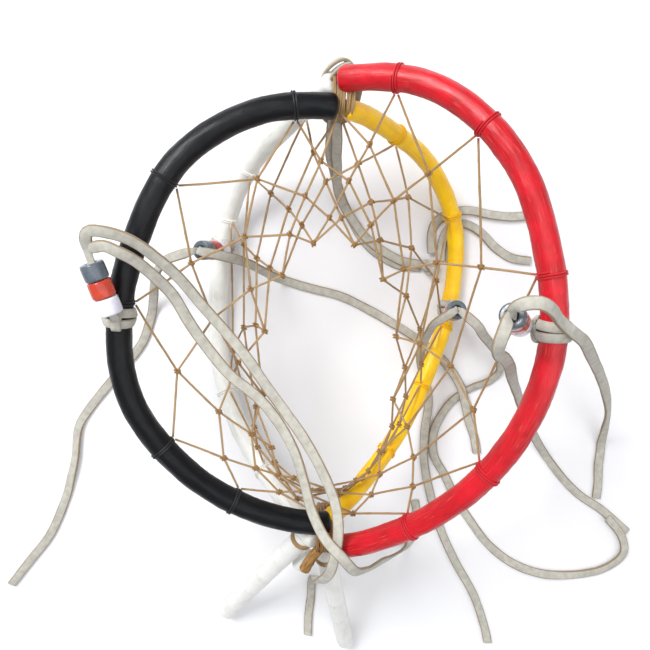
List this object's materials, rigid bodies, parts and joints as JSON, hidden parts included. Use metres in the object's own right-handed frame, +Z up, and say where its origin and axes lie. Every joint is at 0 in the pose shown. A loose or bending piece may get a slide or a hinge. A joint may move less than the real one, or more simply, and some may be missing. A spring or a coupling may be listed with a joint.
{
  "type": "dream catcher",
  "caption": "Globe-shaped dream catcher: bent painted sticks lashed at two poles, a sinew net drawn to a waist between them, and buckskin laces with crow beads.",
  "frame": {"origin": "on the floor, under the middle of the box round the sticks, beads and rods", "axes": "+Y from the bottom pole to the top pole, +X to the red stick's side, +Z up from the floor that it lies on"},
  "size_m": [0.3594, 0.3152, 0.1338],
  "materials": {
    "black_paint": "hand-painted satin gloss on bark-free willow",
    "red_paint": "hand-painted satin gloss with brush streaks",
    "yellow_paint": "hand-painted satin gloss",
    "white_paint": "hand-painted satin",
    "sinew": "waxed artificial sinew, twisted",
    "sinew_dark": "waxed artificial sinew, knotted and darker",
    "buckskin": "suede split lace, off-white with tan cut edges",
    "bead_white": "opaque glossy crow bead",
    "bead_red": "opaque glossy crow bead",
    "bead_grey": "opaque glossy crow bead",
    "raw_wood": "bare brown willow"
  },
  "bodies": {
    "root": {"black_half_hoop": "black_paint", "red_half_hoop": "red_paint", "yellow_half_hoop": "yellow_paint", "white_half_hoop": "white_paint", "top_lashing": "sinew", "bottom_lashing": "sinew_dark", "rod_lashing": "sinew_dark", "black_hitches": "black_paint", "red_hitches": "red_paint", "yellow_hitches": "yellow_paint", "white_hitches": "white_paint", "web_strands": "sinew", "web_knots": "sinew_dark", "black_lace_wrap": "buckskin", "red_lace_wrap": "buckskin", "yellow_lace_wrap": "buckskin", "white_lace_wrap": "buckskin", "black_lace_tail_a": "buckskin", "black_lace_tail_b": "buckskin", "red_lace_tail_a": "buckskin", "red_lace_tail_b": "buckskin", "yellow_lace_tail_a": "buckskin", "yellow_lace_tail_b": "buckskin", "white_lace_tail_a": "buckskin", "white_lace_tail_b": "buckskin", "hanger_wrap": "buckskin", "hanger_lace": "buckskin", "hanger_knot": "buckskin", "hanger_tail_a": "buckskin", "hanger_tail_b": "buckskin", "white_rod_left": "white_paint", "white_rod_right": "white_paint", "white_rod_short": "white_paint", "raw_stick_end": "raw_wood"},
    "black_stack_white_bead": {"black_stack_white_bead": "bead_white"},
    "black_stack_red_bead": {"black_stack_red_bead": "bead_red"},
    "black_stack_grey_bead": {"black_stack_grey_bead": "bead_grey"},
    "red_stack_white_bead": {"red_stack_white_bead": "bead_white"},
    "red_stack_red_bead": {"red_stack_red_bead": "bead_red"},
    "red_stack_grey_bead": {"red_stack_grey_bead": "bead_grey"},
    "yellow_stack_white_bead": {"yellow_stack_white_bead": "bead_white"},
    "yellow_stack_red_bead": {"yellow_stack_red_bead": "bead_red"},
    "yellow_stack_grey_bead": {"yellow_stack_grey_bead": "bead_grey"},
    "white_stack_white_bead": {"white_stack_white_bead": "bead_white"},
    "white_stack_red_bead": {"white_stack_red_bead": "bead_red"},
    "white_stack_grey_bead": {"white_stack_grey_bead": "bead_grey"}
  },
  "joints": [
    {"name": "black_beads_slide", "type": "slide", "parent": "root", "child": "black_stack_white_bead", "axis": [-0.3127, 0.9381, 0.1489], "range_m": [0, 0.0025]},
    {"name": "black_red_bead_spin", "type": "hinge", "parent": "black_stack_white_bead", "child": "black_stack_red_bead", "pos_m": [-0.0826, 0.0523, 0.09542], "axis": [-0.3127, 0.9381, 0.1489], "continuous": true},
    {"name": "black_grey_bead_spin", "type": "hinge", "parent": "black_stack_red_bead", "child": "black_stack_grey_bead", "pos_m": [-0.0826, 0.0523, 0.09542], "axis": [-0.3127, 0.9381, 0.1489], "continuous": true},
    {"name": "red_beads_slide", "type": "slide", "parent": "root", "child": "red_stack_white_bead", "axis": [-0.4019, 0.3025, 0.8643], "range_m": [0, 0.0025]},
    {"name": "red_red_bead_spin", "type": "hinge", "parent": "red_stack_white_bead", "child": "red_stack_red_bead", "pos_m": [0.0745, 0.0567, 0.10733], "axis": [-0.4019, 0.3025, 0.8643], "continuous": true},
    {"name": "red_grey_bead_spin", "type": "hinge", "parent": "red_stack_red_bead", "child": "red_stack_grey_bead", "pos_m": [0.0745, 0.0567, 0.10733], "axis": [-0.4019, 0.3025, 0.8643], "continuous": true},
    {"name": "yellow_beads_slide", "type": "slide", "parent": "root", "child": "yellow_stack_white_bead", "axis": [-0.0679, 0.2328, 0.9701], "range_m": [0, 0.0025]},
    {"name": "yellow_red_bead_spin", "type": "hinge", "parent": "yellow_stack_white_bead", "child": "yellow_stack_red_bead", "pos_m": [0.066, 0.0458, 0.01622], "axis": [-0.0679, 0.2328, 0.9701], "continuous": true},
    {"name": "yellow_grey_bead_spin", "type": "hinge", "parent": "yellow_stack_red_bead", "child": "yellow_stack_grey_bead", "pos_m": [0.066, 0.0458, 0.01622], "axis": [-0.0679, 0.2328, 0.9701], "continuous": true},
    {"name": "white_beads_slide", "type": "slide", "parent": "root", "child": "white_stack_white_bead", "axis": [-0.3453, 0.0493, 0.9372], "range_m": [0, 0.0025]},
    {"name": "white_red_bead_spin", "type": "hinge", "parent": "white_stack_white_bead", "child": "white_stack_red_bead", "pos_m": [-0.0525, 0.0733, 0.01702], "axis": [-0.3453, 0.0493, 0.9372], "continuous": true},
    {"name": "white_grey_bead_spin", "type": "hinge", "parent": "white_stack_red_bead", "child": "white_stack_grey_bead", "pos_m": [-0.0525, 0.0733, 0.01702], "axis": [-0.3453, 0.0493, 0.9372], "continuous": true}
  ]
}
